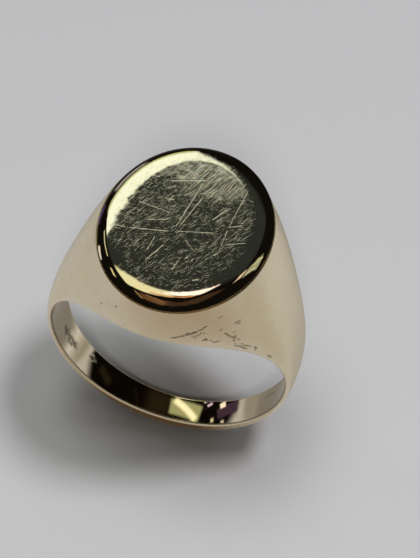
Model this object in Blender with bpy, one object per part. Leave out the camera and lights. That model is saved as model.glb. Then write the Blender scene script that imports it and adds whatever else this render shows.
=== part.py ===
"""Oval signet ring, a solid gold ring with a blank oval table, built as it is made on the bench.

The head body carries the table plate, the two shoulders are soldered to the head body, and the rear
shank closes the band between them. Each seam is a thin film of hard solder, modelled as its own piece.

Frame: the origin is the centre of the finger bore, +Z points to the table, the finger axis lies along
Y, and the front of the ring faces -Y. Sizes below are in millimetres and angles in degrees, measured
round the finger from the middle of the table.
"""

import math

import bmesh
import bpy
import numpy as np
from mathutils import Vector

MM = 0.001

# The finger bore and the small round along its edges
BORE_RADIUS = 9.6
EDGE_ROUND = 0.16
EDGE_STEPS = 3

# The flat on top of the head body, where the table plate sits
SEAT_HALF_X = 6.62
SEAT_HALF_Y = 8.30
SEAT_HEIGHT = 12.83

# The table plate: a flat oval that eases over a soft edge into a rolled rim. The two edges are insets
# from its outline, and the tilts are the surface's slope where the roll begins and at the lip.
TABLE_HALF_X = 6.50
TABLE_HALF_Y = 8.28
PLATE_THICKNESS = 0.72
SOFT_EDGE = 2.1
ROLL_EDGE = 0.8
ROLL_TILT = 17.0
LIP_TILT = 48.0
EASE = 1.6
FOOT_INSET = 0.06
SOFT_STEPS = 7
ROLL_STEPS = 7
OUTLINE_STEPS = 96

# Solder films and the clearance on each side of one
FILM = 0.08
CLEARANCE = 0.03
FILM_INSET = 0.30
PLATE_FOOT = SEAT_HEIGHT + FILM + 2.0 * CLEARANCE
TABLE_TOP = PLATE_FOOT + PLATE_THICKNESS

# The band: half width at stations round the finger, and crown radius from the shoulders to the back
WIDTH_ANGLES = (0, 25, 50, 75, 100, 135, 180)
HALF_WIDTHS = (8.43, 7.09, 4.57, 2.75, 1.89, 1.49, 1.28)
CROWN_ANGLES = (50, 70, 95, 135, 180)
CROWN_RADII = (11.49, 10.55, 10.19, 10.40, 11.00)

# Fullness of the band's cross-section: 2 is an ellipse, more is squarer
HEAD_FULLNESS = 1.98
BAND_FULLNESS = 2.45
HEAD_END = 55
BAND_START = 110

# The seams beside the head and beside the rear shank
HEAD_SEAM = 38.0
SHANK_SEAM = 142.0

# Faces along and across each piece, and the fine steps that even out the rows
FINE_STEPS = 400
SIDE_ROWS = 12
HEAD_STEPS = 48
SHOULDER_STEPS = 34
SHANK_STEPS = 26

GOLD = (0.80, 0.68, 0.46, 1.0)
SOLDER = (0.78, 0.69, 0.50, 1.0)


def start_empty():
    for obj in list(bpy.data.objects):
        bpy.data.objects.remove(obj, do_unlink=True)


def new_collection(name):
    found = bpy.data.collections.new(name)
    bpy.context.scene.collection.children.link(found)
    return found


def metal(name, colour, roughness):
    material = bpy.data.materials.new(name)
    material.use_nodes = True
    shader = material.node_tree.nodes["Principled BSDF"]
    shader.inputs["Base Color"].default_value = colour
    shader.inputs["Metallic"].default_value = 1.0
    shader.inputs["Roughness"].default_value = roughness
    return material


def spline(knots, values, first_slope, last_slope):
    """A smooth cubic through the knots, with the given slope at each end."""
    x = np.asarray(knots, float)
    y = np.asarray(values, float)
    h = np.diff(x)
    chord = np.diff(y) / h
    count = len(x)
    left = np.zeros((count, count))
    right = np.zeros(count)
    left[0, 0] = 1.0
    right[0] = first_slope
    left[-1, -1] = 1.0
    right[-1] = last_slope
    for i in range(1, count - 1):
        left[i, i - 1] = h[i]
        left[i, i] = 2.0 * (h[i - 1] + h[i])
        left[i, i + 1] = h[i - 1]
        right[i] = 3.0 * (h[i] * chord[i - 1] + h[i - 1] * chord[i])
    slope = np.linalg.solve(left, right)

    def value(at):
        i = int(np.clip(np.searchsorted(x, at) - 1, 0, count - 2))
        t = (at - x[i]) / h[i]
        start = y[i] * (1 + 2 * t) * (1 - t) ** 2 + slope[i] * h[i] * t * (1 - t) ** 2
        end = y[i + 1] * t * t * (3 - 2 * t) - slope[i + 1] * h[i] * t * t * (1 - t)
        return start + end

    return value


TIP_ANGLE = math.atan2(SEAT_HALF_X, SEAT_HEIGHT)
half_width = spline([math.radians(a) for a in WIDTH_ANGLES], HALF_WIDTHS, 0.0, 0.0)


def fullness(angle):
    """The head's fullness, easing into the band's along the shoulders."""
    share = (math.degrees(angle) - HEAD_END) / (BAND_START - HEAD_END)
    share = min(max(share, 0.0), 1.0)
    return HEAD_FULLNESS + (BAND_FULLNESS - HEAD_FULLNESS) * share * share * (3.0 - 2.0 * share)


def seat_half_length(angle):
    """Half length of the oval seat, along the finger, where a plane at this angle meets it."""
    across = SEAT_HEIGHT * math.tan(angle) / SEAT_HALF_X
    return SEAT_HALF_Y * math.sqrt(max(0.0, 1.0 - across * across))


def crown_under_table(angle):
    """Crown radius that brings the section through the edge of the seat."""
    share = (seat_half_length(angle) / half_width(angle)) ** HEAD_FULLNESS
    base = BORE_RADIUS + EDGE_ROUND
    return base + (SEAT_HEIGHT / math.cos(angle) - base) / (1.0 - share) ** (1.0 / HEAD_FULLNESS)


def crown_slope_at_tip():
    step = 1e-4
    return (crown_under_table(TIP_ANGLE) - crown_under_table(TIP_ANGLE - step)) / step


crown_past_table = spline(
    [TIP_ANGLE] + [math.radians(a) for a in CROWN_ANGLES],
    (SEAT_HEIGHT / math.cos(TIP_ANGLE),) + CROWN_RADII,
    crown_slope_at_tip(),
    0.0,
)


def side_points(angle):
    """(y, radius) along the front side of the section at an angle, from the bore wall up to its top."""
    angle = abs(angle)
    if angle > math.pi:
        angle = 2.0 * math.pi - angle
    width = half_width(angle)
    power = fullness(angle)
    base = BORE_RADIUS + EDGE_ROUND
    if angle < TIP_ANGLE:
        crown = crown_under_table(angle)
        top = math.asin(min(1.0, (seat_half_length(angle) / width) ** (power / 2.0)))
    else:
        crown = crown_past_table(angle)
        top = 0.0
    points = []
    for i in range(EDGE_STEPS):
        turn = 0.5 * math.pi * i / EDGE_STEPS
        inward = EDGE_ROUND * (1.0 - math.sin(turn))
        points.append((inward - width, base - EDGE_ROUND * math.cos(turn)))
    turn = np.linspace(0.5 * math.pi, top, FINE_STEPS)
    y = -width * np.abs(np.sin(turn)) ** (2.0 / power)
    radius = base + (crown - base) * np.abs(np.cos(turn)) ** (2.0 / power)
    travelled = np.concatenate([[0.0], np.cumsum(np.hypot(np.diff(y), np.diff(radius)))])
    even = np.linspace(0.0, travelled[-1], SIDE_ROWS + 1)
    side = zip(np.interp(even, travelled, y), np.interp(even, travelled, radius))
    return points + [(float(across), float(out)) for across, out in side]


def loft(name, angles, material, collection):
    """A closed piece of the band between the first and last angle, in sections round the finger."""
    body = bmesh.new()
    rings = []
    for angle in angles:
        front = side_points(angle)
        back = [(-y, radius) for y, radius in reversed(front)]
        ring = []
        for y, radius in front + back:
            place = (radius * math.sin(angle) * MM, y * MM, radius * math.cos(angle) * MM)
            ring.append(body.verts.new(place))
        rings.append(ring)
    count = len(rings[0])
    for one, other in zip(rings, rings[1:]):
        for i in range(count):
            j = (i + 1) % count
            body.faces.new((one[i], one[j], other[j], other[i]))
    body.faces.new(list(reversed(rings[0])))
    body.faces.new(rings[-1])
    bmesh.ops.remove_doubles(body, verts=body.verts, dist=1e-7)
    flat = [f for f in body.faces if f.normal.length and f.calc_area() < 1e-14]
    bmesh.ops.delete(body, geom=flat, context="FACES_ONLY")
    bmesh.ops.recalc_face_normals(body, faces=body.faces)
    return finish(name, body, material, collection)


def finish(name, body, material, collection):
    mesh = bpy.data.meshes.new(name)
    body.to_mesh(mesh)
    body.free()
    obj = bpy.data.objects.new(name, mesh)
    obj.data.materials.append(material)
    collection.objects.link(obj)
    return obj


def between(first, last, steps):
    return [math.radians(first + (last - first) * i / steps) for i in range(steps + 1)]


def head_angles():
    """Angles across the head: even steps along the oval seat, then on past its tips to the seams."""
    over_seat = []
    for i in range(HEAD_STEPS + 1):
        across = SEAT_HALF_X * math.sin(math.pi * (i / HEAD_STEPS - 0.5))
        over_seat.append(math.atan2(across, SEAT_HEIGHT))
    past = between(math.degrees(TIP_ANGLE), HEAD_SEAM - seam_gap(), 5)[1:]
    return [-a for a in reversed(past)] + over_seat + past


def seam_gap():
    """Angle of half a solder film with its clearance, at the band's mean radius."""
    return math.degrees((0.5 * FILM + CLEARANCE) / (BORE_RADIUS + 1.0))


def film_angles(middle):
    half = math.degrees(0.5 * FILM / (BORE_RADIUS + 1.0))
    return between(middle - half, middle + half, 1)


def oval(half_x, half_y, height, inset=0.0):
    """Points round an oval at a height, moved in from its outline by an inset."""
    points = []
    for i in range(OUTLINE_STEPS):
        turn = 2.0 * math.pi * i / OUTLINE_STEPS
        outward = Vector((half_y * math.cos(turn), half_x * math.sin(turn), 0.0)).normalized()
        on_outline = Vector((half_x * math.cos(turn), half_y * math.sin(turn), height))
        points.append((on_outline - inset * outward) * MM)
    return points


def stack(name, ovals, material, collection):
    """A closed piece through a stack of ovals, flat on its first and last."""
    body = bmesh.new()
    rings = [[body.verts.new(point) for point in points] for points in ovals]
    for low, high in zip(rings, rings[1:]):
        for i in range(OUTLINE_STEPS):
            j = (i + 1) % OUTLINE_STEPS
            body.faces.new((low[i], low[j], high[j], high[i]))
    body.faces.new(list(reversed(rings[0])))
    body.faces.new(rings[-1])
    return finish(name, body, material, collection)


def surface_tilt(inset):
    """Slope of the table's surface at an inset from its outline."""
    if inset > ROLL_EDGE:
        share = (SOFT_EDGE - inset) / (SOFT_EDGE - ROLL_EDGE)
        return math.radians(ROLL_TILT) * share**EASE
    share = 1.0 - inset / ROLL_EDGE
    return math.radians(ROLL_TILT + (LIP_TILT - ROLL_TILT) * share)


def table_profile():
    """(inset, height) from the lip of the rim up to the edge of the flat."""
    soft = np.linspace(SOFT_EDGE, ROLL_EDGE, SOFT_STEPS + 1)
    roll = np.linspace(ROLL_EDGE, 0.0, ROLL_STEPS + 1)
    insets = [float(inset) for inset in soft] + [float(inset) for inset in roll[1:]]
    height = TABLE_TOP
    profile = [(insets[0], height)]
    for inner, outer in zip(insets, insets[1:]):
        height -= (inner - outer) * math.tan(surface_tilt(0.5 * (inner + outer)))
        profile.append((outer, height))
    return list(reversed(profile))


def table_plate(material, collection):
    ovals = [oval(TABLE_HALF_X, TABLE_HALF_Y, PLATE_FOOT, FOOT_INSET)]
    for inset, height in table_profile():
        ovals.append(oval(TABLE_HALF_X, TABLE_HALF_Y, height, inset))
    return stack("table_plate", ovals, material, collection)


def table_film(material, collection):
    low = SEAT_HEIGHT + CLEARANCE
    outline = (SEAT_HALF_X - FILM_INSET, SEAT_HALF_Y - FILM_INSET)
    return stack("table_solder", [oval(*outline, low), oval(*outline, low + FILM)], material, collection)


start_empty()
ring = new_collection("oval_signet_ring")
gold = {name: metal(name, GOLD, 0.18) for name in
        ("plate_gold", "head_gold", "left_gold", "right_gold", "shank_gold")}
solder = {name: metal(name, SOLDER, 0.3) for name in
          ("table_seam", "left_seam", "right_seam", "left_shank_seam", "right_shank_seam")}

table_plate(gold["plate_gold"], ring)
table_film(solder["table_seam"], ring)
loft("head_body", head_angles(), gold["head_gold"], ring)

gap = seam_gap()
for side, sign in (("left", -1), ("right", 1)):
    shoulder = between(sign * (HEAD_SEAM + gap), sign * (SHANK_SEAM - gap), SHOULDER_STEPS)
    loft(side + "_shoulder", shoulder, gold[side + "_gold"], ring)
    loft(side + "_shoulder_solder", film_angles(sign * HEAD_SEAM), solder[side + "_seam"], ring)
    loft(side + "_shank_solder", film_angles(sign * SHANK_SEAM), solder[side + "_shank_seam"], ring)

loft("rear_shank", between(SHANK_SEAM + gap, 360 - SHANK_SEAM - gap, SHANK_STEPS),
     gold["shank_gold"], ring)
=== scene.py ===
"""Looks of the oval signet ring: fine meshes for every piece, worn gold, a pale floor and soft light.

Everything is in the frame of the CAD model: the origin is the centre of the finger bore, +Z points to
the table, the finger axis is Y and the front is at -Y. The ring's lengths are in millimetres until a
mesh is made of them. The stage round it is in metres.
"""

import math

import bpy
import numpy as np
from mathutils import Matrix, Vector


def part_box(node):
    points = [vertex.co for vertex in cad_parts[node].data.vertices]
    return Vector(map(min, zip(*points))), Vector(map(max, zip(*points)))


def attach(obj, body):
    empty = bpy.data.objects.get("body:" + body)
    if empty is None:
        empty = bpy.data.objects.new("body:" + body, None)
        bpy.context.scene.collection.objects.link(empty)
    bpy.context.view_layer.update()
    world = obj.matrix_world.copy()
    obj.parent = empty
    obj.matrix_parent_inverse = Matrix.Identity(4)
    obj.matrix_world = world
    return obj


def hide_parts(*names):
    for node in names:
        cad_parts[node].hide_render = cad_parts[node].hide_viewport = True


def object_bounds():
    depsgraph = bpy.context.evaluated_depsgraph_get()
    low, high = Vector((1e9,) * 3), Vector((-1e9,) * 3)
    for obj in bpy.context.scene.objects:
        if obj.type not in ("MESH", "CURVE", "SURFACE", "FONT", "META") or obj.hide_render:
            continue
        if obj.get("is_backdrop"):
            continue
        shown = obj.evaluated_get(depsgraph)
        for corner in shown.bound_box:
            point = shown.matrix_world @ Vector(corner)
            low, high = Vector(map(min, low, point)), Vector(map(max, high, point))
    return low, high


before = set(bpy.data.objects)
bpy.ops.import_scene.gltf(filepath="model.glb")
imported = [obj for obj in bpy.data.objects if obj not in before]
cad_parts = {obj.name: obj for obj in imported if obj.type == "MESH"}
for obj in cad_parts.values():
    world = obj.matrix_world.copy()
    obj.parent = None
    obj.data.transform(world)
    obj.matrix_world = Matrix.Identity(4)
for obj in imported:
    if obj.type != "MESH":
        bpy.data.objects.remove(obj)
cad_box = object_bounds()

MM = 0.001

# Sizes read from the CAD nodes, in millimetres
plate_low, plate_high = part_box("table_plate")
solder_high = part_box("table_solder")[1]
head_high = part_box("head_body")[1]
TABLE_HALF_X = plate_high[0] / MM
TABLE_HALF_Y = plate_high[1] / MM
TABLE_TOP = plate_high[2] / MM
TABLE_FOOT = plate_low[2] / MM
SEAT_HEIGHT = head_high[2] / MM
FILM_INSET = 0.30  # the film of solder under the plate stops this far inside the edge of the seat
SEAT_HALF_X = solder_high[0] / MM + FILM_INSET
SEAT_HALF_Y = solder_high[1] / MM + FILM_INSET

# The law of the band, as in the CAD model
BORE_RADIUS = 9.6
EDGE_ROUND = 0.16
WIDTH_ANGLES = (0, 25, 50, 75, 100, 135, 180)
HALF_WIDTHS = (8.43, 7.09, 4.57, 2.75, 1.89, 1.49, 1.28)
CROWN_ANGLES = (50, 70, 95, 135, 180)
CROWN_RADII = (11.49, 10.55, 10.19, 10.40, 11.00)
HEAD_FULLNESS = 1.98
BAND_FULLNESS = 2.45
HEAD_END = 55
BAND_START = 110
HEAD_SEAM = 38.0
SHANK_SEAM = 142.0

# Half the angle a seam takes up, which its film of solder fills: half the gap in millimetres, measured
# at this radius
SEAM_HALF_GAP = 0.07
SEAM_RADIUS = BORE_RADIUS + 1.0
SEAM_ANGLE = math.degrees(SEAM_HALF_GAP / SEAM_RADIUS)

# How fine the meshes are
EDGE_STEPS = 6
SIDE_ROWS = 96
BORE_ROWS = 40
FINE_STEPS = 1200
SEAT_STEPS = 240
PAST_SEAT_STEPS = 30
SHOULDER_STEPS = 300
REAR_STEPS = 90
OUTLINE_STEPS = 256
FLAT_RINGS = 24
SOFT_RINGS = 31
ROLL_RINGS = 37
LIP_STEPS = 8

SLOPE_STEP = 1e-4  # the step that slopes are measured over, in radians
TINY = 1e-9


# ---------------------------------------------------------------- the surface of the band


def spline(knots, values, first_slope, last_slope):
    """A smooth cubic through the knots, with the given slope at each end."""
    x = np.asarray(knots, float)
    y = np.asarray(values, float)
    h = np.diff(x)
    chord = np.diff(y) / h
    count = len(x)
    left = np.zeros((count, count))
    right = np.zeros(count)
    left[0, 0] = 1.0
    right[0] = first_slope
    left[-1, -1] = 1.0
    right[-1] = last_slope
    for i in range(1, count - 1):
        left[i, i - 1] = h[i]
        left[i, i] = 2.0 * (h[i - 1] + h[i])
        left[i, i + 1] = h[i - 1]
        right[i] = 3.0 * (h[i] * chord[i - 1] + h[i - 1] * chord[i])
    slope = np.linalg.solve(left, right)

    def value(at):
        i = int(np.clip(np.searchsorted(x, at) - 1, 0, count - 2))
        t = (at - x[i]) / h[i]
        start = y[i] * (1 + 2 * t) * (1 - t) ** 2 + slope[i] * h[i] * t * (1 - t) ** 2
        end = y[i + 1] * t * t * (3 - 2 * t) - slope[i + 1] * h[i] * t * t * (1 - t)
        return start + end

    return value


TIP_ANGLE = math.atan2(SEAT_HALF_X, SEAT_HEIGHT)
SIDE_BASE = BORE_RADIUS + EDGE_ROUND
half_width = spline([math.radians(a) for a in WIDTH_ANGLES], HALF_WIDTHS, 0.0, 0.0)


def fullness(angle):
    share = (math.degrees(angle) - HEAD_END) / (BAND_START - HEAD_END)
    share = min(max(share, 0.0), 1.0)
    return HEAD_FULLNESS + (BAND_FULLNESS - HEAD_FULLNESS) * share * share * (3.0 - 2.0 * share)


def seat_half_length(angle):
    across = SEAT_HEIGHT * math.tan(angle) / SEAT_HALF_X
    return SEAT_HALF_Y * math.sqrt(max(0.0, 1.0 - across * across))


def crown_under_table(angle):
    share = (seat_half_length(angle) / half_width(angle)) ** HEAD_FULLNESS
    reach = SEAT_HEIGHT / math.cos(angle) - SIDE_BASE
    return SIDE_BASE + reach / (1.0 - share) ** (1.0 / HEAD_FULLNESS)


def crown_slope_at_tip():
    return (crown_under_table(TIP_ANGLE) - crown_under_table(TIP_ANGLE - SLOPE_STEP)) / SLOPE_STEP


crown_past_table = spline(
    [TIP_ANGLE] + [math.radians(a) for a in CROWN_ANGLES],
    (SEAT_HEIGHT / math.cos(TIP_ANGLE),) + CROWN_RADII,
    crown_slope_at_tip(),
    0.0,
)


def crown(angle):
    return crown_under_table(angle) if angle < TIP_ANGLE else crown_past_table(angle)


def law_slopes(angle):
    """How the half width, crown and fullness change with angle."""
    ahead = angle + SLOPE_STEP
    behind = angle - SLOPE_STEP
    if behind < TIP_ANGLE < ahead:
        behind = angle
        ahead = angle + 2.0 * SLOPE_STEP
    span = 2.0 * SLOPE_STEP
    width_slope = (half_width(abs(ahead)) - half_width(abs(behind))) / span
    crown_slope = (crown(abs(ahead)) - crown(abs(behind))) / span
    full_slope = (fullness(ahead) - fullness(behind)) / span
    return width_slope, crown_slope, full_slope


def side_curve(angle, rows):
    """y, radius and (radial, round, along) normal of the front side, from the bore wall to the top."""
    sign = -1.0 if angle < 0 else 1.0
    angle = abs(angle)
    if angle > math.pi:
        angle = 2.0 * math.pi - angle
        sign = -sign
    width = half_width(angle)
    power = fullness(angle)
    top_radius = crown(angle)
    rise = top_radius - SIDE_BASE
    top = 0.0
    if angle < TIP_ANGLE:
        top = math.asin(min(1.0, (seat_half_length(angle) / width) ** (power / 2.0)))
    turn = np.linspace(0.5 * math.pi, top, FINE_STEPS)
    across = np.abs(np.sin(turn)) ** (2.0 / power)
    up = np.abs(np.cos(turn)) ** (2.0 / power)
    travelled = np.hypot(np.diff(width * across), np.diff(rise * up))
    travelled = np.concatenate([[0.0], np.cumsum(travelled)])
    even = np.linspace(0.0, travelled[-1], rows + 1)
    across = np.interp(even, travelled, across)
    up = np.maximum(np.interp(even, travelled, up), TINY)
    across = np.maximum(across, TINY)
    width_slope, crown_slope, full_slope = law_slopes(angle)
    radial = power * up ** (power - 1.0) / rise
    along = power * across ** (power - 1.0) / width
    around = -power * across**power * width_slope / width - power * up**power * crown_slope / rise
    around += full_slope * (across**power * np.log(across) + up**power * np.log(up))
    radius = SIDE_BASE + rise * up
    normals = np.stack([radial, sign * around / radius, -along], axis=-1)
    normals /= np.linalg.norm(normals, axis=1)[:, None]
    edge = 0.5 * math.pi * np.arange(EDGE_STEPS) / EDGE_STEPS
    edge_y = EDGE_ROUND * (1.0 - np.sin(edge)) - width
    edge_radius = SIDE_BASE - EDGE_ROUND * np.cos(edge)
    edge_normals = np.sin(edge)[:, None] * normals[0] - np.cos(edge)[:, None] * np.array([1.0, 0.0, 0.0])
    return (
        np.concatenate([edge_y, -width * across]),
        np.concatenate([edge_radius, radius]),
        np.concatenate([edge_normals, normals]),
    )


def placed(angle, y, radius):
    """The place at an angle round the band, at y along the finger and a radius from its axis."""
    return np.stack([radius * math.sin(angle), y, radius * math.cos(angle)], axis=-1)


def turned(angle, normals):
    """Normals given as (radial, round, along), turned into x, y and z."""
    outward = np.array([math.sin(angle), 0.0, math.cos(angle)])
    onward = np.array([math.cos(angle), 0.0, -math.sin(angle)])
    along = np.array([0.0, 1.0, 0.0])
    return normals[:, :1] * outward + normals[:, 1:2] * onward + normals[:, 2:] * along


# ---------------------------------------------------------------- meshes


def make_piece(name, points, faces, normals, materials, node, slot, smooth, finish=None, grime_and_shade=None):
    """A mesh object with its own normals, riding on the ring's one body in place of its CAD node."""
    mesh = bpy.data.meshes.new(name)
    mesh.from_pydata((points * MM).tolist(), [], faces)
    mesh.polygons.foreach_set("use_smooth", smooth)
    mesh.update()
    loop_vertex = np.empty(len(mesh.loops), np.int32)
    mesh.loops.foreach_get("vertex_index", loop_vertex)
    loop_total = np.empty(len(mesh.polygons), np.int32)
    mesh.polygons.foreach_get("loop_total", loop_total)
    flat = ~np.repeat(np.asarray(smooth, bool), loop_total)
    loop_normals = normals[loop_vertex].copy()
    face_normals = np.empty(len(mesh.polygons) * 3, np.float32)
    mesh.polygons.foreach_get("normal", face_normals)
    face_normals = np.repeat(face_normals.reshape(-1, 3), loop_total, axis=0)
    loop_normals[flat] = face_normals[flat]
    mesh.normals_split_custom_set(loop_normals.tolist())
    obj = bpy.data.objects.new(name, mesh)
    bpy.context.scene.collection.objects.link(obj)
    for material in materials:
        mesh.materials.append(material)
    if finish is not None:
        mesh.polygons.foreach_set("material_index", finish)
    # this attribute holds dirt in the marks and painted shade along the bore's front edge
    if grime_and_shade is not None:
        mesh.attributes.new("grime_and_shade", "FLOAT", "POINT").data.foreach_set("value", grime_and_shade)
    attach(obj, "root")
    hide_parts(node)
    return obj


# Marks pressed into the gold: where each stroke starts and ends, then its width and depth. Dents on the
# front cheek are placed by angle in degrees and radius, and marks in the bore by angle and by how far
# they lie behind the middle.
CHEEK_DENTS = (
    ((9.1, 10.32), (10.4, 10.42), 0.075, 0.034),
    ((10.9, 10.50), (12.6, 10.72), 0.068, 0.034),
    ((12.4, 10.62), (13.8, 10.85), 0.060, 0.030),
    ((13.8, 10.85), (14.9, 11.05), 0.060, 0.030),
    ((13.2, 10.98), (14.4, 11.16), 0.052, 0.024),
    ((15.0, 10.98), (17.0, 11.30), 0.055, 0.034),
    ((15.4, 11.18), (16.4, 11.36), 0.055, 0.034),
    ((16.9, 11.44), (18.2, 11.62), 0.055, 0.034),
    ((18.2, 11.70), (19.0, 11.97), 0.058, 0.032),
    ((16.2, 10.77), (18.3, 11.00), 0.050, 0.024),
    ((18.4, 11.10), (18.6, 11.32), 0.050, 0.024),
    ((21.0, 10.55), (22.6, 10.63), 0.072, 0.036),
    ((21.4, 10.78), (22.0, 10.70), 0.058, 0.028),
    ((25.6, 10.42), (27.3, 10.64), 0.065, 0.032),
    ((27.0, 11.42), (28.4, 11.34), 0.058, 0.028),
    ((28.6, 11.24), (32.4, 11.06), 0.065, 0.036),
    ((31.4, 11.32), (32.0, 11.12), 0.050, 0.028),
    ((32.0, 10.94), (33.0, 10.80), 0.050, 0.028),
    ((35.4, 10.32), (38.2, 10.36), 0.065, 0.036),
    ((38.8, 10.26), (41.6, 10.18), 0.072, 0.040),
    ((38.6, 10.50), (41.8, 10.48), 0.058, 0.032),
    ((44.0, 10.46), (45.4, 10.42), 0.065, 0.032),
    ((45.2, 10.30), (46.4, 10.22), 0.050, 0.024),
    ((54.6, 10.12), (57.0, 10.08), 0.058, 0.028),
    ((28.0, 12.18), (29.0, 12.34), 0.058, 0.028),
    ((29.2, 12.10), (29.6, 12.22), 0.043, 0.020),
    ((21.2, 12.60), (22.0, 12.74), 0.043, 0.016),
    ((17.4, 10.62), (18.0, 10.70), 0.045, 0.020),
    ((19.4, 11.30), (20.0, 11.24), 0.045, 0.020),
    ((23.8, 10.60), (24.6, 10.58), 0.050, 0.024),
    ((24.4, 11.62), (25.0, 11.74), 0.045, 0.020),
    ((29.8, 11.48), (30.2, 11.60), 0.045, 0.020),
    ((33.6, 11.02), (34.6, 10.94), 0.050, 0.024),
    ((34.2, 10.56), (35.0, 10.50), 0.045, 0.020),
    ((36.8, 10.60), (37.6, 10.62), 0.045, 0.020),
    ((-15.0, 11.60), (-14.6, 11.70), 0.058, 0.020),
    ((-22.4, 11.20), (-22.0, 11.28), 0.058, 0.020),
)
BORE_MARKS = (
    ((-109.2, 0.02), (-111.6, -0.20), 0.24, 0.022),
    ((-109.6, 0.18), (-112.4, 0.12), 0.20, 0.022),
    ((-112.2, -0.22), (-113.4, 0.06), 0.22, 0.022),
    ((-114.2, 0.24), (-116.4, -0.16), 0.24, 0.022),
    ((-114.0, -0.04), (-117.4, 0.14), 0.20, 0.022),
    ((-117.2, -0.26), (-119.4, -0.30), 0.17, 0.020),
    ((-118.0, 0.12), (-122.0, -0.14), 0.20, 0.022),
    ((-120.4, 0.02), (-121.8, 0.16), 0.17, 0.020),
    ((-133.2, 0.44), (-135.6, 0.72), 0.10, 0.006),
    ((-135.6, 0.72), (-138.0, 0.44), 0.10, 0.006),
    ((-138.0, 0.44), (-135.6, 0.16), 0.10, 0.006),
    ((-135.6, 0.16), (-133.2, 0.44), 0.10, 0.006),
    ((117.4, 0.52), (118.6, 0.36), 0.10, 0.012),
    ((120.4, 0.56), (121.6, 0.40), 0.10, 0.012),
    ((123.4, 0.60), (124.6, 0.44), 0.10, 0.012),
)
GRIME_FADE = 1.1  # how much sooner the grime thins out than the mark it lies in
EDGE_PAINTED_SHADE = 0.75  # and how strong the painted shade is along the bore's front edge, a dark line in the same attribute


def cheek_point(angle, radius):
    """A point of the front cheek."""
    angle = math.radians(angle)
    y, radii, _ = side_curve(angle, SIDE_ROWS)
    return placed(angle, np.interp(radius, radii, y), radius)


def bore_point(angle, along):
    """A point of the bore's wall."""
    return placed(math.radians(angle), along, BORE_RADIUS)


def strokes():
    """Every mark as two points in millimetres, a width and a depth."""
    for place, marks in ((cheek_point, CHEEK_DENTS), (bore_point, BORE_MARKS)):
        for start, end, width, depth in marks:
            yield place(*start), place(*end), width, depth


def pressed(points, normals):
    """The surface with the marks pressed into it, and how much grime each point holds."""
    depth_here = np.zeros(len(points))
    slope = np.zeros_like(points)
    grime_and_shade = np.zeros(len(points))
    for start, end, width, depth in strokes():
        run = end - start
        share = np.clip((points - start) @ run / (run @ run), 0.0, 1.0)
        away = points - start - share[:, None] * run
        distance = np.einsum("ij,ij->i", away, away) / width**2
        near = depth * np.exp(-distance)
        depth_here += near
        slope -= 2.0 * near[:, None] * away / width**2
        grime_and_shade = np.maximum(grime_and_shade, np.exp(-GRIME_FADE * distance))
    slope -= np.einsum("ij,ij->i", slope, normals)[:, None] * normals
    normals = normals + slope
    normals /= np.linalg.norm(normals, axis=1)[:, None]
    return points - depth_here[:, None] * normals, normals, grime_and_shade


# The bore is worn slightly domed across the band, by this much at its middle
BORE_DOME = 0.04


def band_section(angle):
    """Points, normals and painted edge shade round one section: the front side, the rear side, then the
    bore's wall.
    """
    y, radius, side = side_curve(angle, SIDE_ROWS)
    mirror = side * np.array([1.0, 1.0, -1.0])
    wall_y = np.linspace(-y[0], y[0], BORE_ROWS + 1)[1:-1]
    wall_radius = BORE_RADIUS - BORE_DOME * (1.0 - (wall_y / y[0]) ** 2)
    lean = 2.0 * BORE_DOME * wall_y / y[0] ** 2
    wall = np.column_stack([-np.ones(BORE_ROWS - 1), np.zeros(BORE_ROWS - 1), lean])
    wall /= np.linalg.norm(wall, axis=1)[:, None]
    section_y = np.concatenate([y, -y[::-1], wall_y])
    section_radius = np.concatenate([radius, radius[::-1], wall_radius])
    section_normals = np.concatenate([side, mirror[::-1], wall])
    grime_and_shade = np.zeros(len(section_y))
    # painted shade: a dark line along the bore's front edge, standing in for the polished edge mirroring
    # dark
    grime_and_shade[[0, 1, -1]] = EDGE_PAINTED_SHADE
    return placed(angle, section_y, section_radius), turned(angle, section_normals), grime_and_shade


def band_faces(angles, count):
    """Faces between the sections, with whether each is smooth and whether it is of the bore."""
    seat_row = EDGE_STEPS + SIDE_ROWS
    wall_start = 2 * (seat_row + 1) - 1
    faces = []
    smooth = []
    finish = []
    for s in range(len(angles) - 1):
        one = s * count
        other = one + count
        under_table = min(abs(angles[s]), abs(angles[s + 1])) < TIP_ANGLE - 1e-6
        for i in range(count):
            if i == seat_row and not under_table:
                continue
            j = (i + 1) % count
            faces.append((one + i, other + i, other + j, one + j))
            smooth.append(i != seat_row)
            finish.append(int(i >= wall_start))
    last_section = (len(angles) - 1) * count
    faces.append(tuple(range(count)))
    faces.append(tuple(last_section + i for i in range(count - 1, -1, -1)))
    smooth += [False, False]
    finish += [0, 0]
    return faces, smooth, finish


def band_piece(name, angles, materials, node, slot):
    """One piece of the band, between its first angle and its last."""
    points, normals, grime_and_shade = (np.concatenate(parts) for parts in zip(*map(band_section, angles)))
    faces, smooth, finish = band_faces(angles, len(points) // len(angles))
    points, normals, marks = pressed(points, normals)
    grime_and_shade = np.maximum(grime_and_shade, marks)
    return make_piece(name, points, faces, normals, materials, node, slot, smooth, finish, grime_and_shade)


def between(first, last, steps):
    """Even steps between two angles given in degrees, in radians."""
    return [math.radians(first + (last - first) * i / steps) for i in range(steps + 1)]


def head_angles():
    """Angles from seam to seam over the head, closer together towards the tips of the seat."""
    over_seat = []
    for i in range(SEAT_STEPS + 1):
        across = SEAT_HALF_X * math.sin(math.pi * (i / SEAT_STEPS - 0.5))
        over_seat.append(math.atan2(across, SEAT_HEIGHT))
    past = between(math.degrees(TIP_ANGLE), HEAD_SEAM - SEAM_ANGLE, PAST_SEAT_STEPS)[1:]
    return [-a for a in reversed(past)] + over_seat + past


def film_angles(seam):
    return between(seam - SEAM_ANGLE, seam + SEAM_ANGLE, 1)


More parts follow.
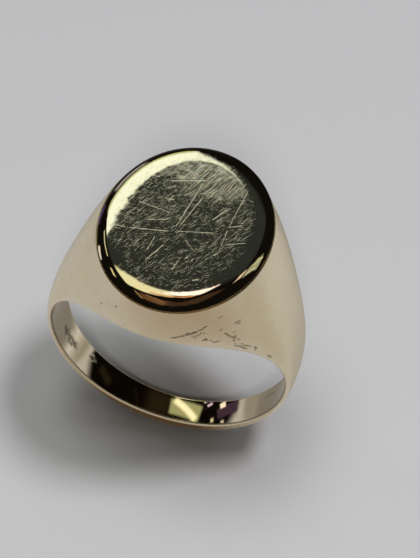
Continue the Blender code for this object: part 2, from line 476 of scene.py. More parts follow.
# The table plate's profile: the flat eases over a soft edge into a rolled rim, as in the CAD model
SOFT_EDGE = 2.1
ROLL_EDGE = 0.8
ROLL_TILT = 17.0
LIP_TILT = 48.0
EASE = 1.6
LIP_ROUND = 0.03
UNDERSIDE_TILT = 110.0
FOOT_INSET = 0.06


def surface_tilt(inset):
    """Slope of the table's surface, in degrees, at an inset from its outline."""
    if inset > ROLL_EDGE:
        share = max(SOFT_EDGE - inset, 0.0) / (SOFT_EDGE - ROLL_EDGE)
        return ROLL_TILT * share**EASE
    return ROLL_TILT + (LIP_TILT - ROLL_TILT) * (1.0 - inset / ROLL_EDGE)


def plate_profile():
    """(inset, height, tilt) from the edge of the flat, over the rim, to the foot of the plate."""
    soft = np.linspace(SOFT_EDGE, ROLL_EDGE, SOFT_RINGS)
    roll = np.linspace(ROLL_EDGE, 0.5 * LIP_ROUND, ROLL_RINGS)
    insets = soft.tolist() + roll[1:].tolist()
    tilts = [math.radians(surface_tilt(inset)) for inset in insets]
    heights = [0.0]
    for i in range(1, len(tilts)):
        slope = math.tan(0.5 * (tilts[i] + tilts[i - 1]))
        heights.append(heights[-1] - (insets[i - 1] - insets[i]) * slope)
    first = tilts[-1]
    lip_inset = insets[-1] + LIP_ROUND * math.sin(first)
    lip_height = heights[-1] - LIP_ROUND * math.cos(first)
    for i in range(1, LIP_STEPS + 1):
        tilt = first + (math.radians(UNDERSIDE_TILT) - first) * i / LIP_STEPS
        insets.append(lip_inset - LIP_ROUND * math.sin(tilt))
        heights.append(lip_height + LIP_ROUND * math.cos(tilt))
        tilts.append(tilt)
    shift = min(insets)
    profile = [(inset - shift, height, tilt) for inset, height, tilt in zip(insets, heights, tilts)]
    profile.append((FOOT_INSET, TABLE_FOOT - TABLE_TOP, math.radians(UNDERSIDE_TILT)))
    return profile


def round_the_oval():
    """The angles at which the plate's and the solder's outlines are stepped out."""
    return np.linspace(0.0, 2.0 * math.pi, OUTLINE_STEPS, endpoint=False)


def table_plate(material):
    """The oval plate: its flat top, soft edge, rolled rim and underside."""
    turn = round_the_oval()
    outline = np.stack([TABLE_HALF_X * np.cos(turn), TABLE_HALF_Y * np.sin(turn)], axis=-1)
    outward = np.stack([TABLE_HALF_Y * np.cos(turn), TABLE_HALF_X * np.sin(turn)], axis=-1)
    outward /= np.linalg.norm(outward, axis=1)[:, None]
    upward = np.array([[0.0, 0.0, 1.0]])
    points = []
    normals = []
    flat_outline = outline - SOFT_EDGE * outward
    for i in range(1, FLAT_RINGS):
        share = i / FLAT_RINGS
        points.append(np.column_stack([flat_outline * share, np.full(OUTLINE_STEPS, TABLE_TOP)]))
        normals.append(np.tile(upward, (OUTLINE_STEPS, 1)))
    for inset, height, tilt in plate_profile():
        level = np.full(OUTLINE_STEPS, TABLE_TOP + height)
        rise = np.full(OUTLINE_STEPS, math.cos(tilt))
        points.append(np.column_stack([outline - inset * outward, level]))
        normals.append(np.column_stack([outward * math.sin(tilt), rise]))
    rings = len(points)
    points = np.concatenate(points + [upward * TABLE_TOP])
    normals = np.concatenate(normals + [upward])
    faces = []
    centre = rings * OUTLINE_STEPS
    for i in range(OUTLINE_STEPS):
        j = (i + 1) % OUTLINE_STEPS
        faces.append((centre, i, j))
        for r in range(rings - 1):
            one = r * OUTLINE_STEPS
            other = one + OUTLINE_STEPS
            faces.append((one + i, other + i, other + j, one + j))
    smooth = [True] * len(faces)
    foot = (rings - 1) * OUTLINE_STEPS
    faces.append(tuple(foot + i for i in range(OUTLINE_STEPS - 1, -1, -1)))
    smooth.append(False)
    return make_piece(
        "table_plate_gold", points, faces, normals, [material], "table_plate", "table_gold", smooth
    )


SEAM_INSET = 0.20  # how far the solder under the plate is seen to stop inside the edge of the seat


def table_seam(material):
    """The solder between the seat and the plate, filling the crease all but its mouth."""
    turn = round_the_oval()
    x = (SEAT_HALF_X - SEAM_INSET) * np.cos(turn)
    y = (SEAT_HALF_Y - SEAM_INSET) * np.sin(turn)
    rings = [np.column_stack([x, y, np.full(OUTLINE_STEPS, z)]) for z in (SEAT_HEIGHT, TABLE_FOOT)]
    points = np.concatenate(rings)
    normals = np.tile([0.0, 0.0, 1.0], (len(points), 1))
    faces = []
    for i in range(OUTLINE_STEPS):
        j = (i + 1) % OUTLINE_STEPS
        faces.append((i, j, OUTLINE_STEPS + j, OUTLINE_STEPS + i))
    faces.append(tuple(range(OUTLINE_STEPS - 1, -1, -1)))
    faces.append(tuple(range(OUTLINE_STEPS, 2 * OUTLINE_STEPS)))
    smooth = [False] * len(faces)
    return make_piece(
        "table_seam_solder", points, faces, normals, [material], "table_solder", "solder", smooth
    )


# ---------------------------------------------------------------- materials

GOLD = (0.80, 0.69, 0.50, 1.0)
WARM_GOLD = (0.78, 0.62, 0.40, 1.0)
# the dark of dirt, also the colour of the painted shade along the bore's front edge
GRIME_AND_SHADE = (0.055, 0.040, 0.028, 1.0)

# The table's wear. It covers the flat and ends before the rim, at these shares of the way from the middle,
# and its roughness runs from that of the bare polish to that of a full mark. Places and widths are in
# millimetres, and depths in metres.
WORN_FULL = 0.76
WORN_END = 0.90
WORN_SHIFT = (0.20, 0.0, 0.0)
POLISHED_ROUGHNESS = 0.030
SCORED_ROUGHNESS = 0.44
GRAIN_STRENGTH = 0.36
SCORED_DEPTH = 4e-6
RIPPLE_DEPTH = 1.6e-5

# Its hairlines: how they sway, how far apart each layer's pattern is from the last, how soft their edges
# are, and the patches in which they thin out
SWAY_SCALE = 0.30
SWAY = 0.7
LAYER_STEP = (-7.3, -3.1, -5.7)
LINE_EDGE = 0.08
PATCH_SCALE = 0.55
FAINTEST_PATCH = 0.15
TABLE_HAIRLINES = (
    # heading, length, width, threshold
    (64, 1.5, 0.022, 0.772),
    (58, 0.9, 0.020, 0.777),
    (71, 1.2, 0.020, 0.779),
    (80, 0.7, 0.020, 0.795),
    (45, 0.6, 0.020, 0.792),
    (30, 0.5, 0.020, 0.797),
    (12, 0.9, 0.022, 0.795),
    (0, 0.6, 0.020, 0.802),
    (-14, 0.7, 0.020, 0.799),
    (-38, 0.5, 0.020, 0.802),
    (-60, 0.45, 0.020, 0.805),
    (104, 0.6, 0.022, 0.799),
)

# A patch towards the rear is brushed with closer hairlines, which fade out between two distances
BRUSHED_MIDDLE = (0.6, 5.5)
BRUSHED_REACH = 3.8
BRUSHED_FULL = 0.35 * BRUSHED_REACH
BRUSHED_FIRST_LAYER = 21
BRUSHED_HAIRLINES = (
    (66, 2.0, 0.030, 0.662),
    (73, 1.4, 0.026, 0.687),
    (58, 1.0, 0.026, 0.707),
)
LONG_SCRATCHES = (
    # start, end, width
    ((-0.7, -1.2), (0.1, 4.4), 0.060),
    ((-0.5, -1.1), (0.5, 3.0), 0.035),
    ((-2.5, 3.4), (0.4, 4.5), 0.075),
    ((-4.9, -2.1), (-4.1, -2.1), 0.045),
    ((-4.1, -2.1), (-0.8, -1.3), 0.045),
    ((-0.6, -1.2), (2.4, -0.3), 0.035),
    ((-4.1, 0.7), (-1.3, 0.4), 0.045),
    ((1.7, 0.7), (2.6, 2.4), 0.055),
    ((0.4, -1.7), (1.0, -2.3), 0.060),
    ((1.0, -2.3), (1.5, -2.6), 0.050),
    ((2.8, -2.5), (3.1, -2.1), 0.080),
    ((-2.0, -3.7), (-1.8, -2.1), 0.045),
    ((-1.9, -4.8), (-0.9, -2.6), 0.045),
    ((0.3, -5.0), (0.6, -3.3), 0.045),
    ((3.1, -2.1), (3.1, 0.4), 0.045),
    ((3.1, 0.4), (3.5, 4.6), 0.040),
    ((2.0, -5.3), (2.5, -5.0), 0.070),
    ((-3.0, -0.9), (-1.3, -0.2), 0.035),
    ((3.0, 0.5), (4.1, 1.1), 0.045),
    ((3.3, -1.2), (4.9, -0.4), 0.035),
    ((-2.2, 1.6), (-1.5, 1.8), 0.060),
    ((-1.9, 1.3), (-1.7, 2.2), 0.050),
)

# The band's wear: how far its tone wanders to the warmer gold, how dirty its pin pricks are, how much of
# the gold full dirt and the full painted edge shade hide and roughen, and the depth of the wear in metres
WARMTH = 0.45
PRICK_DIRT = 0.28
DIRT_AND_SHADE_COVER = 0.9
DIRT_AND_SHADE_ROUGHNESS = 0.35
WEAR_DEPTH = 1e-5


def new_material(name):
    material = bpy.data.materials.new(name)
    material.use_nodes = True
    return material, material.node_tree


def new_gold(name):
    """A metal, with its node tree and shader."""
    material, tree = new_material(name)
    shader = tree.nodes["Principled BSDF"]
    shader.inputs["Metallic"].default_value = 1.0
    return material, tree, shader


def add(tree, kind, sockets, **settings):
    """A node with its settings, and each socket given a value or joined to another node's output."""
    node = tree.nodes.new(kind)
    for key, value in settings.items():
        setattr(node, key, value)
    for key, value in sockets.items():
        if isinstance(value, bpy.types.NodeSocket):
            tree.links.new(value, node.inputs[key])
        else:
            node.inputs[key].default_value = value
    return node


def maths(tree, operation, *values):
    return add(tree, "ShaderNodeMath", dict(enumerate(values)), operation=operation).outputs[0]


def vectors(tree, operation, *values):
    node = add(tree, "ShaderNodeVectorMath", dict(enumerate(values)), operation=operation)
    return node.outputs["Value" if operation in ("DOT_PRODUCT", "LENGTH", "DISTANCE") else 0]


def ramp(tree, value, low, high, to_low=0.0, to_high=1.0):
    sockets = {"Value": value, "From Min": low, "From Max": high, "To Min": to_low, "To Max": to_high}
    return add(tree, "ShaderNodeMapRange", sockets, interpolation_type="SMOOTHSTEP").outputs[0]


def mixed(tree, share, low, high):
    """One colour turning into another as the share goes from 0 to 1."""
    sockets = {"Factor": share, "A": low, "B": high}
    return add(tree, "ShaderNodeMix", sockets, data_type="RGBA").outputs["Result"]


def scaled(tree, place, factor):
    sockets = {0: place, "Scale": factor}
    return add(tree, "ShaderNodeVectorMath", sockets, operation="SCALE").outputs[0]


def object_place(tree):
    """Where a point is on its object, in metres."""
    return add(tree, "ShaderNodeTexCoord", {}).outputs["Object"]


def millimetres(tree):
    """Where a point is on its object, in millimetres."""
    return scaled(tree, object_place(tree), 1.0 / MM)


def noise(tree, place, scale, detail, output="Fac"):
    sockets = {"Vector": place, "Scale": scale, "Detail": detail}
    return add(tree, "ShaderNodeTexNoise", sockets).outputs[output]


def bump(tree, height, strength, distance, under=None):
    """The shading normal, tilted by a height that is this many metres at its full."""
    sockets = {"Height": height, "Strength": strength, "Distance": distance}
    if under is not None:
        sockets["Normal"] = under
    return add(tree, "ShaderNodeBump", sockets).outputs[0]


def wandering(tree, place):
    """Places shifted gently to and fro, so that what is drawn on them runs slightly crooked."""
    sway = noise(tree, place, SWAY_SCALE, 1.0, "Color")
    return vectors(tree, "ADD", place, scaled(tree, sway, SWAY))


def hairlines(tree, place, heading, length, width, low, seed):
    """Fine lines of about this length and width in millimetres, running along a heading in degrees."""
    moved = {"Vector": place, "Location": tuple(seed * step for step in LAYER_STEP)}
    spun = {"Rotation": (0.0, 0.0, math.radians(heading)), "Scale": (length, width, 1.0)}
    stretched = add(tree, "ShaderNodeMapping", {**moved, **spun}, vector_type="TEXTURE").outputs[0]
    lines = ramp(tree, noise(tree, stretched, 1.0, 0.0), low, low + LINE_EDGE)
    apart = add(tree, "ShaderNodeMapping", moved, vector_type="TEXTURE").outputs[0]
    patches = ramp(tree, noise(tree, apart, PATCH_SCALE, 1.0), 0.38, 0.62, FAINTEST_PATCH, 1.0)
    return maths(tree, "MULTIPLY", lines, patches)


def scratch(tree, place, start, end, width):
    """One long scratch between two points of the table, fading out at its sides and ends."""
    run = Vector(end) - Vector(start)
    along = run.normalized()
    across = Vector((-along.y, along.x))
    away = vectors(tree, "SUBTRACT", place, (start[0], start[1], 0.0))
    forward = vectors(tree, "DOT_PRODUCT", away, (along.x, along.y, 0.0))
    aside = maths(tree, "ABSOLUTE", vectors(tree, "DOT_PRODUCT", away, (across.x, across.y, 0.0)))
    line = ramp(tree, aside, 0.70 * width, 0.15 * width)
    centre = maths(tree, "ABSOLUTE", maths(tree, "SUBTRACT", forward, 0.5 * run.length))
    ends = ramp(tree, centre, 0.5 * run.length, 0.35 * run.length)
    return maths(tree, "MULTIPLY", line, ends)


def worn_area(tree, place):
    """1 over the flat of the table, falling to 0 before the rim along an uneven edge."""
    spread = vectors(tree, "ADD", place, WORN_SHIFT)
    spread = vectors(tree, "MULTIPLY", spread, (1.0 / TABLE_HALF_X, 1.0 / TABLE_HALF_Y, 0.0))
    reach = maths(tree, "MULTIPLY_ADD", noise(tree, place, 0.4, 1.0), 0.2, -0.1)
    reach = maths(tree, "ADD", reach, vectors(tree, "LENGTH", spread))
    return ramp(tree, reach, WORN_END, WORN_FULL)


def fine_marks(tree, place):
    """Grain with the hairlines over it. Each layer joins one running maximum, so none waits in memory."""
    crooked = wandering(tree, place)
    away = vectors(tree, "DISTANCE", place, BRUSHED_MIDDLE + (TABLE_TOP,))
    near = ramp(tree, away, BRUSHED_REACH, BRUSHED_FULL)
    marks = ramp(tree, noise(tree, place, 9.0, 2.0), 0.58, 0.84, 0.0, GRAIN_STRENGTH)
    for seed, layer in enumerate(TABLE_HAIRLINES, 1):
        marks = maths(tree, "MAXIMUM", marks, hairlines(tree, crooked, *layer, seed))
    for seed, layer in enumerate(BRUSHED_HAIRLINES, BRUSHED_FIRST_LAYER):
        brushed = maths(tree, "MULTIPLY", near, hairlines(tree, crooked, *layer, seed))
        marks = maths(tree, "MAXIMUM", marks, brushed)
    return marks


def with_scratches(tree, place, marks):
    """The marks with the long scratches over them, deeper in some places than in others."""
    pressure = ramp(tree, noise(tree, place, 3.0, 2.0), 0.36, 0.54, 0.45, 1.0)
    for line in LONG_SCRATCHES:
        cut = maths(tree, "MULTIPLY", pressure, scratch(tree, place, *line))
        marks = maths(tree, "MAXIMUM", marks, cut)
    return marks


def table_material():
    """Mirror-polished gold under years of scratches, the finest of which glint in many colours."""
    material, tree, shader = new_gold("table_gold")
    place = millimetres(tree)
    on_flat = worn_area(tree, place)
    fine = fine_marks(tree, place)
    glints = maths(tree, "MULTIPLY", fine, on_flat)
    marks = maths(tree, "MULTIPLY", with_scratches(tree, place, fine), on_flat)
    rough = ramp(tree, marks, 0.0, 1.0, POLISHED_ROUGHNESS, SCORED_ROUGHNESS)
    tree.links.new(rough, shader.inputs["Roughness"])
    hue = noise(tree, place, 5.0, 2.0, "Color")
    sockets = {"Color": hue, "Saturation": 2.6, "Value": 1.7}
    vivid = add(tree, "ShaderNodeHueSaturation", sockets).outputs[0]
    tint = mixed(tree, maths(tree, "MULTIPLY", glints, 0.5), GOLD, vivid)
    tree.links.new(tint, shader.inputs["Base Color"])
    scored = bump(tree, marks, 0.5, SCORED_DEPTH)
    waves = noise(tree, place, 0.55, 2.0)
    ripples = maths(tree, "MULTIPLY_ADD", noise(tree, place, 2.4, 2.0), 0.10, waves)
    uneven = bump(tree, ripples, 1.0, RIPPLE_DEPTH, scored)
    tree.links.new(uneven, shader.inputs["Normal"])
    return material


def body_material(name, roughness, grain):
    """Polished gold worn soft, faintly uneven in tone, with pin pricks, grime in its marks and painted edge
    shade.
    """
    material, tree, shader = new_gold(name)
    place = millimetres(tree)
    blotch = ramp(tree, noise(tree, place, 0.9, 3.0), 0.3, 0.7, 0.0, WARMTH)
    tone = mixed(tree, blotch, GOLD, WARM_GOLD)
    pricks = ramp(tree, noise(tree, place, 5.5, 1.0), 0.70, 0.78)
    held_dirt_and_shade = add(tree, "ShaderNodeAttribute", {}, attribute_name="grime_and_shade").outputs["Fac"]
    patchy = ramp(tree, noise(tree, place, 7.0, 1.0), 0.36, 0.56, 0.60, 1.0)
    held_dirt_and_shade = maths(tree, "MULTIPLY", held_dirt_and_shade, patchy)
    # dirt in pricks and marks, and the painted shade along the bore's front edge, darken the gold alike
    dirt_and_shade = maths(tree, "MAXIMUM", maths(tree, "MULTIPLY", pricks, PRICK_DIRT), held_dirt_and_shade)
    stained_and_shaded = mixed(tree, maths(tree, "MULTIPLY", dirt_and_shade, DIRT_AND_SHADE_COVER), tone, GRIME_AND_SHADE)
    tree.links.new(stained_and_shaded, shader.inputs["Base Color"])
    wear = noise(tree, place, 6.0, 4.0)
    rough = ramp(tree, wear, 0.3, 0.7, roughness * 0.85, roughness * 1.2)
    rough = maths(tree, "MULTIPLY_ADD", dirt_and_shade, DIRT_AND_SHADE_ROUGHNESS, rough)
    tree.links.new(rough, shader.inputs["Roughness"])
    tree.links.new(bump(tree, wear, grain, WEAR_DEPTH), shader.inputs["Normal"])
    return material


table_gold = table_material()
body_gold = body_material("body_gold", 0.30, 0.06)
bore_gold = body_material("bore_gold", 0.05, 0.02)
BAND_FINISHES = [body_gold, bore_gold]

# ---------------------------------------------------------------- the ring

plate = table_plate(table_gold)
band_pieces = [
    table_seam(body_gold),
    band_piece("head_gold", head_angles(), BAND_FINISHES, "head_body", "gold"),
]
for side, sign in (("left", -1), ("right", 1)):
    upper_end = sign * (HEAD_SEAM + SEAM_ANGLE)
    lower_end = sign * (SHANK_SEAM - SEAM_ANGLE)
    shoulder = between(min(upper_end, lower_end), max(upper_end, lower_end), SHOULDER_STEPS)
    runs = (
        ("shoulder_gold", shoulder, "shoulder", "gold"),
        ("shoulder_seam", film_angles(sign * HEAD_SEAM), "shoulder_solder", "solder"),
        ("shank_seam", film_angles(sign * SHANK_SEAM), "shank_solder", "solder"),
    )
    for name, angles, node, slot in runs:
        piece = band_piece(f"{side}_{name}", angles, BAND_FINISHES, f"{side}_{node}", slot)
        band_pieces.append(piece)
rear = between(SHANK_SEAM + SEAM_ANGLE, 360 - SHANK_SEAM - SEAM_ANGLE, REAR_STEPS)
band_pieces.append(band_piece("rear_shank_gold", rear, BAND_FINISHES, "rear_shank", "gold"))

# ---------------------------------------------------------------- floor, light and camera

# The floor and what surrounds it, in metres
FLOOR = cad_box[0][2]
FLOOR_REACH = 1.0
OPEN_FLOOR = (0.60, 0.605, 0.62, 1.0)
# painted shade: the floor's colour darkens to this tone where ambient occlusion finds the ring within this
# distance
FLOOR_PAINTED_SHADE = (0.24, 0.235, 0.23, 1.0)
PAINTED_SHADE_REACH = 0.03
DARK_ROOM_RADIUS = 0.80
PALE_ROOM_RADIUS = 0.85
BACKDROP = (0.50, 0.505, 0.515, 1.0)
BACKDROP_RADIUS = 1.5

# The floor glows more and more from the first of these distances to the last, in millimetres, where the
# lamps no longer reach it
GLOW_START = 60.0
GLOW_END = 900.0
GLOW_STRENGTH = 0.86

# A painted reflection of the shade under the ring, in millimetres: each edge as where it starts to darken
# and where it is dark, with half widths either side of the middle, and where the band's tone gives way to
# the bore's
SHELTER_MIDDLE = -1.2
SHELTER_SIDES = (12.5, 3.5)
SHELTER_FRONT = (-6.5, -2.5)
SHELTER_REAR = (17.0, 10.0)
SHELTER_TURN = (1.0, 4.0)
SHELTER_LIFT = 0.01
BAND_SHADE_REFLECTION = (0.075, 0.052, 0.034, 1.0)
BORE_SHADE_REFLECTION = (0.24, 0.235, 0.23, 1.0)


def stage_mesh(name, points, faces, material):
    mesh = bpy.data.meshes.new(name)
    mesh.from_pydata(points, [], faces)
    mesh.materials.append(material)
    obj = bpy.data.objects.new(name, mesh)
    bpy.context.scene.collection.objects.link(obj)
    obj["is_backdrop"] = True
    return obj


def rectangle(name, low, high, level, material):
    """A level rectangle between two corners, in metres."""
    corners = (low, (high[0], low[1]), high, (low[0], high[1]))
    return stage_mesh(name, [(x, y, level) for x, y in corners], [(0, 1, 2, 3)], material)


def seen_only(obj, by):
    """Show a thing to the camera alone, or to mirroring surfaces alone."""
    for ray in ("camera", "diffuse", "glossy", "transmission", "volume_scatter", "shadow"):
        setattr(obj, f"visible_{ray}", ray == by)


def new_glow(name):
    """A material for what glows without being a lamp."""
    material, tree = new_material(name)
    tree.nodes.remove(tree.nodes["Principled BSDF"])
    material.cycles.emission_sampling = "NONE"
    return material, tree


def emission(tree, colour):
    return add(tree, "ShaderNodeEmission", {"Color": colour, "Strength": 1.0}).outputs[0]


def clear(tree):
    return add(tree, "ShaderNodeBsdfTransparent", {}).outputs[0]


def surface(tree, shader):
    tree.links.new(shader, tree.nodes["Material Output"].inputs["Surface"])


def floor():
    """A matt pale floor with painted shade near the ring, from ambient occlusion, and glowing where it is
    far away.
    """
    material, tree = new_material("pale_floor")
    shader = tree.nodes["Principled BSDF"]
    # painted shade: ambient occlusion from the ring darkens the floor's colour
    sockets = {"Distance": PAINTED_SHADE_REACH}
    open_sky = add(tree, "ShaderNodeAmbientOcclusion", sockets, samples=16).outputs["AO"]
    tone = mixed(tree, ramp(tree, open_sky, 0.35, 0.95), FLOOR_PAINTED_SHADE, OPEN_FLOOR)
    tree.links.new(tone, shader.inputs["Base Color"])
    shader.inputs["Roughness"].default_value = 0.9
    away = vectors(tree, "LENGTH", millimetres(tree))
    far = ramp(tree, away, GLOW_START, GLOW_END, 0.0, GLOW_STRENGTH)
    tree.links.new(far, shader.inputs["Emission Strength"])
    shader.inputs["Emission Color"].default_value = BACKDROP
    material.cycles.emission_sampling = "NONE"
    low = (-FLOOR_REACH, -FLOOR_REACH)
    high = (FLOOR_REACH, FLOOR_REACH)
    rectangle("floor", low, high, FLOOR, material).visible_glossy = False


def painted_floor_shade():
    """A painted reflection of the shaded floor under the band and the bore: a glow in the plane of the
    floor.
    """
    material, tree = new_glow("painted_floor_shade")
    place = millimetres(tree)
    across = vectors(tree, "DOT_PRODUCT", place, (1.0, 0.0, 0.0))
    across = maths(tree, "ABSOLUTE", maths(tree, "SUBTRACT", across, SHELTER_MIDDLE))
    behind = vectors(tree, "DOT_PRODUCT", place, (0.0, 1.0, 0.0))
    shade = ramp(tree, across, *SHELTER_SIDES)
    shade = maths(tree, "MULTIPLY", shade, ramp(tree, behind, *SHELTER_FRONT))
    shade = maths(tree, "MULTIPLY", shade, ramp(tree, behind, *SHELTER_REAR))
    # painted reflection of shade: a dark glow on a patch seen only by mirroring surfaces
    glow = emission(tree, mixed(tree, ramp(tree, behind, *SHELTER_TURN), BAND_SHADE_REFLECTION, BORE_SHADE_REFLECTION))
    both = add(tree, "ShaderNodeMixShader", {0: shade, 1: clear(tree), 2: glow})
    surface(tree, both.outputs[0])
    low = ((SHELTER_MIDDLE - SHELTER_SIDES[0]) * MM, SHELTER_FRONT[0] * MM)
    high = ((SHELTER_MIDDLE + SHELTER_SIDES[0]) * MM, SHELTER_REAR[0] * MM)
    patch = rectangle("painted_floor_shade", low, high, FLOOR + SHELTER_LIFT * MM, material)
    seen_only(patch, "glossy")


def heading_vector(azimuth, elevation):
    """A direction: azimuth 0 is straight behind the ring, 90 to its right; elevation is above the floor."""
    a = math.radians(azimuth)
    e = math.radians(elevation)
    return Vector((math.sin(a) * math.cos(e), math.cos(a) * math.cos(e), math.sin(e)))


# What the metal mirrors. Each panel: azimuth, elevation, half width, half height, turn and edge softness
# in degrees, then its colour. Later panels lie over earlier ones.
DARK_ROOM = (0.006, 0.005, 0.004, 1.0)
DARK_ROOM_PANELS = (
    (-30, -20, 25, 12, 0, 8, (0.035, 0.030, 0.032)),
    (-14, 54, 34, 15, 0, 9, (0.030, 0.036, 0.034)),
    (-155, 68, 14, 11, 0, 10, (0.150, 0.078, 0.040)),
    (-128, 58, 9, 1.0, 25, 1, (0.42, 0.30, 0.14)),
    (-150, 75, 10, 0.8, 10, 0.8, (0.55, 0.30, 0.14)),
    (-162, 66, 10, 0.7, -8, 0.7, (0.32, 0.19, 0.09)),
    (175, 60, 9, 0.6, 5, 0.6, (0.20, 0.15, 0.08)),
    (150, 66, 10, 9, 0, 6, (0.055, 0.032, 0.020)),
    (95, 68, 14, 8, 0, 6, (0.060, 0.035, 0.020)),
    (135, 14, 48, 10, 0, 12, (0.17, 0.165, 0.15)),
    (-32.5, 33.2, 17.5, 16.2, 2, 2.5, (1.20, 1.38, 1.30)),
    (-28.4, 55.5, 24, 8.5, 12, 2.5, (0.030, 0.036, 0.034)),
    (-33, 20.2, 17.5, 3.6, 0, 3.5, (0.56, 0.64, 0.30)),
    (-32.5, 26, 16, 0.5, 0, 0.8, (0.62, 0.70, 0.40)),
    (-61, 67, 17, 8.5, 39, 4, (1.02, 1.04, 0.72)),
    (6, 70, 8, 4.5, 0, 2, (1.60, 1.45, 1.50)),
    (-10, 79, 10, 1.5, 0, 1, (0.85, 0.38, 0.14)),
    (58, 32, 5, 12, 0, 2, (0.42, 0.47, 0.33)),
    (55, 27, 0.8, 9, 0, 0.8, (0.78, 0.80, 0.52)),
    (61, 34, 0.8, 8, 0, 0.8, (0.80, 0.76, 0.55)),
    (56, 50, 4, 3, 0, 1.5, (1.00, 0.82, 0.66)),
    (-38, 3, 7, 6, 0, 3, (0.42, 0.40, 0.46)),
    (-57, -5, 5, 5, 0, 3, (0.08, 0.05, 0.20)),
    (-80, 8, 5, 4, 0, 2, (0.90, 0.85, 0.90)),
    (-67, 32, 8, 2, -38, 1, (0.70, 0.70, 0.50)),
    (-93, 36, 4, 2.5, 0, 1, (0.85, 0.80, 0.45)),
)
PALE_ROOM = (0.56, 0.57, 0.59, 1.0)
PALE_ROOM_PANELS = (
    (168, -10, 62, 40, 0, 50, (0.40, 0.35, 0.29)),
    (0, -30, 62, 30, 0, 12, (0.33, 0.32, 0.30)),
    (50, -30, 22, 20, 0, 16, (0.66, 0.68, 0.69)),
    (86, -22, 18, 18, 0, 16, (0.50, 0.50, 0.46)),
    (-60, -38, 20, 16, 0, 20, (0.56, 0.56, 0.55)),
    (36, -46, 14, 12, 0, 12, (0.44, 0.44, 0.43)),
    (0, 48, 58.5, 41, 0, 7, (0.0035, 0.0025, 0.0018)),
    (50, 25, 1.5, 7, 0, 5, (0.022, 0.018, 0.010)),
    (29, 50, 1.0, 7, 0, 3, (0.010, 0.007, 0.003)),
    (0, 54, 9, 9, 0, 12, (0.022, 0.016, 0.009)),
    (-32, 46, 12.5, 5.8, 36, 2.5, (0.42, 0.46, 0.25)),
    (-32, 45.5, 11, 2.3, 10, 3, (1.40, 1.38, 1.00)),
    (-51, 15, 3, 9, 0, 2, (0.060, 0.036, 0.070)),
    (-38, 30, 0.8, 1.3, 0, 0.6, (0.80, 0.72, 0.70)),
    (-42, 28, 0.8, 2.0, 0, 0.6, (0.90, 0.70, 0.95)),
    (-47, 18.5, 1.5, 2.2, 0, 0.8, (1.40, 1.25, 1.15)),
    (-53.5, 29, 1.2, 1.2, 0, 0.8, (0.80, 0.80, 0.60)),
    (-57, 20, 1.0, 1.4, 0, 0.8, (0.70, 0.66, 0.56)),
)


def sphere(name, radius, material, around=64, up=32):
    """A hollow ball round the ring, with this many faces round it and this many from pole to pole."""
    points = []
    faces = []
    for j in range(up + 1):
        elevation = 180.0 * j / up - 90.0
        for i in range(around):
            points.append(heading_vector(360.0 * i / around, elevation) * radius)
    for j in range(up):
        for i in range(around):
            k = (i + 1) % around
            faces.append((j * around + i, (j + 1) * around + i, (j + 1) * around + k, j * around + k))
    return stage_mesh(name, points, faces, material)


def backdrop():
    """A pale surround past the end of the floor, which lights nothing."""
    material, tree = new_glow("pale_backdrop")
    surface(tree, emission(tree, BACKDROP))
    seen_only(sphere("backdrop", BACKDROP_RADIUS, material), "camera")


def panel_share(tree, facing, azimuth, elevation, half_wide, half_high, turn, soft):
    """1 in directions inside a panel, falling to 0 outside it."""
    middle = heading_vector(azimuth, elevation)
    level = heading_vector(azimuth + 90, 0)
    upright = heading_vector(azimuth, elevation + 90)
    aside = level * math.cos(math.radians(turn)) + upright * math.sin(math.radians(turn))
    above = middle.cross(aside)
    towards = vectors(tree, "DOT_PRODUCT", facing, tuple(middle))
    ahead = maths(tree, "MAXIMUM", towards, 0.02)
    share = maths(tree, "GREATER_THAN", towards, 0.0)
    for axis, half in ((aside, half_wide), (above, half_high)):
        off = maths(tree, "ABSOLUTE", vectors(tree, "DOT_PRODUCT", facing, tuple(axis)))
        off = maths(tree, "ARCTANGENT", maths(tree, "DIVIDE", off, ahead))
        outer = math.radians(half + 0.5 * soft)
        inner = math.radians(half - 0.5 * soft)
        share = maths(tree, "MULTIPLY", share, ramp(tree, off, outer, inner))
    return share


def room(name, walls, panels, mirrored_by, radius):
    """A clear dome whose glow only some pieces mirror: walls of one tone, with panels on them."""
    material, tree = new_glow(name)
    facing = vectors(tree, "NORMALIZE", object_place(tree))
    colour = walls
    for *shape, tint in panels:
        share = panel_share(tree, facing, *shape)
        colour = mixed(tree, share, colour, tint + (1.0,))
    both = add(tree, "ShaderNodeAddShader", {0: emission(tree, colour), 1: clear(tree)})
    surface(tree, both.outputs[0])
    dome = sphere(name, radius, material)
    seen_only(dome, "glossy")
    dome.light_linking.receiver_collection = group(mirrored_by, f"mirroring_{name}")


def group(pieces, name):
    """The pieces as a collection that a glow can be kept to."""
    collection = bpy.data.collections.new(name)
    for piece in pieces:
        collection.objects.link(piece)
    return collection


# Lamps: azimuth and elevation, width in metres, power in watts and colour
LAMPS = (
    ("key_light", 90, 74, 0.13, 1.90, (1.0, 0.982, 0.988)),
    ("strip_light", -100, 78, 0.25, 0.94, (0.985, 1.0, 0.965)),
    ("front_light", 168, 46, 0.08, 0.79, (0.99, 1.0, 0.98)),
)
LAMP_DISTANCE = 0.6


def lamp(name, azimuth, elevation, size, power, colour):
    """A round lamp facing the ring, which isn't itself mirrored."""
    light = bpy.data.lights.new(name, "AREA")
    light.shape = "DISK"
    light.size = size
    light.energy = power
    light.color = colour
    obj = bpy.data.objects.new(name, light)
    bpy.context.scene.collection.objects.link(obj)
    obj.location = heading_vector(azimuth, elevation) * LAMP_DISTANCE
    obj.rotation_euler = (-obj.location).to_track_quat("-Z", "Y").to_euler()
    obj.visible_camera = False
    obj.visible_glossy = False


SKY = (0.94, 0.96, 1.0, 1.0)
SKY_STRENGTH = 0.035


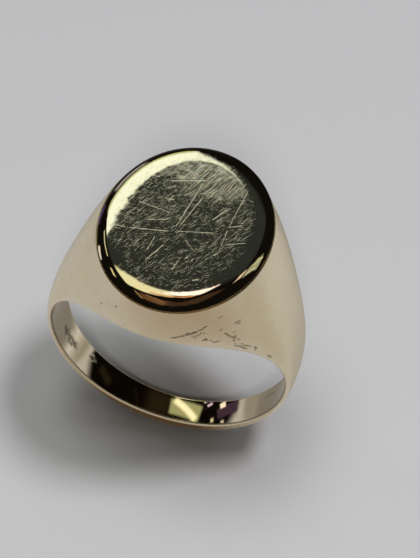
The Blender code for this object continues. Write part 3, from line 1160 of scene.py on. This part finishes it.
def sky():
    """Faint even light from everywhere, which nothing mirrors."""
    world = bpy.data.worlds.new("studio")
    bpy.context.scene.world = world
    world.use_nodes = True
    background = world.node_tree.nodes["Background"]
    background.inputs["Color"].default_value = SKY
    background.inputs["Strength"].default_value = SKY_STRENGTH
    world.cycles_visibility.glossy = False


# The camera: the way from the ring to it, its tilt, and what it is centred on. Angles are in degrees, and
# lengths and the lens in millimetres.
CAMERA_AZIMUTH = 167.46
CAMERA_ELEVATION = 51.92
CAMERA_ROLL = 5.93
CAMERA_DISTANCE = 200.0
LENS = 163.1
SENSOR_WIDTH = 36.0
NEAREST = 10.0
CENTRED_RIGHT = 2.755
CENTRED_ABOVE = 4.349


def camera():
    """A long lens aimed a little to the right of the bore's centre and above it, in the picture's sense."""
    back = heading_vector(CAMERA_AZIMUTH, CAMERA_ELEVATION)
    roll = math.radians(CAMERA_ROLL)
    level = (-back).cross(Vector((0, 0, 1))).normalized()
    above = level.cross(-back)
    right = level * math.cos(roll) + above * math.sin(roll)
    up = above * math.cos(roll) - level * math.sin(roll)
    aim = right * CENTRED_RIGHT + up * CENTRED_ABOVE - back * CAMERA_DISTANCE
    aim.normalize()
    side = aim.cross(up).normalized()
    top = side.cross(aim)
    data = bpy.data.cameras.new("camera")
    data.sensor_width = SENSOR_WIDTH
    data.lens = LENS
    data.clip_start = NEAREST * MM
    obj = bpy.data.objects.new("camera", data)
    bpy.context.scene.collection.objects.link(obj)
    turn = Matrix((side, top, -aim)).transposed()
    obj.matrix_world = Matrix.Translation(back * CAMERA_DISTANCE * MM) @ turn.to_4x4()
    bpy.context.scene.camera = obj


floor()
backdrop()
painted_floor_shade()
room("dark_room", DARK_ROOM, DARK_ROOM_PANELS, [plate], DARK_ROOM_RADIUS)
room("pale_room", PALE_ROOM, PALE_ROOM_PANELS, band_pieces, PALE_ROOM_RADIUS)
for fitting in LAMPS:
    lamp(*fitting)
sky()
camera()
bpy.context.scene.view_settings.view_transform = "Standard"

boxes = {"cad": cad_box, "visual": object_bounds()}
{k: [[float(x) for x in corner] for corner in v] for k, v in boxes.items()}
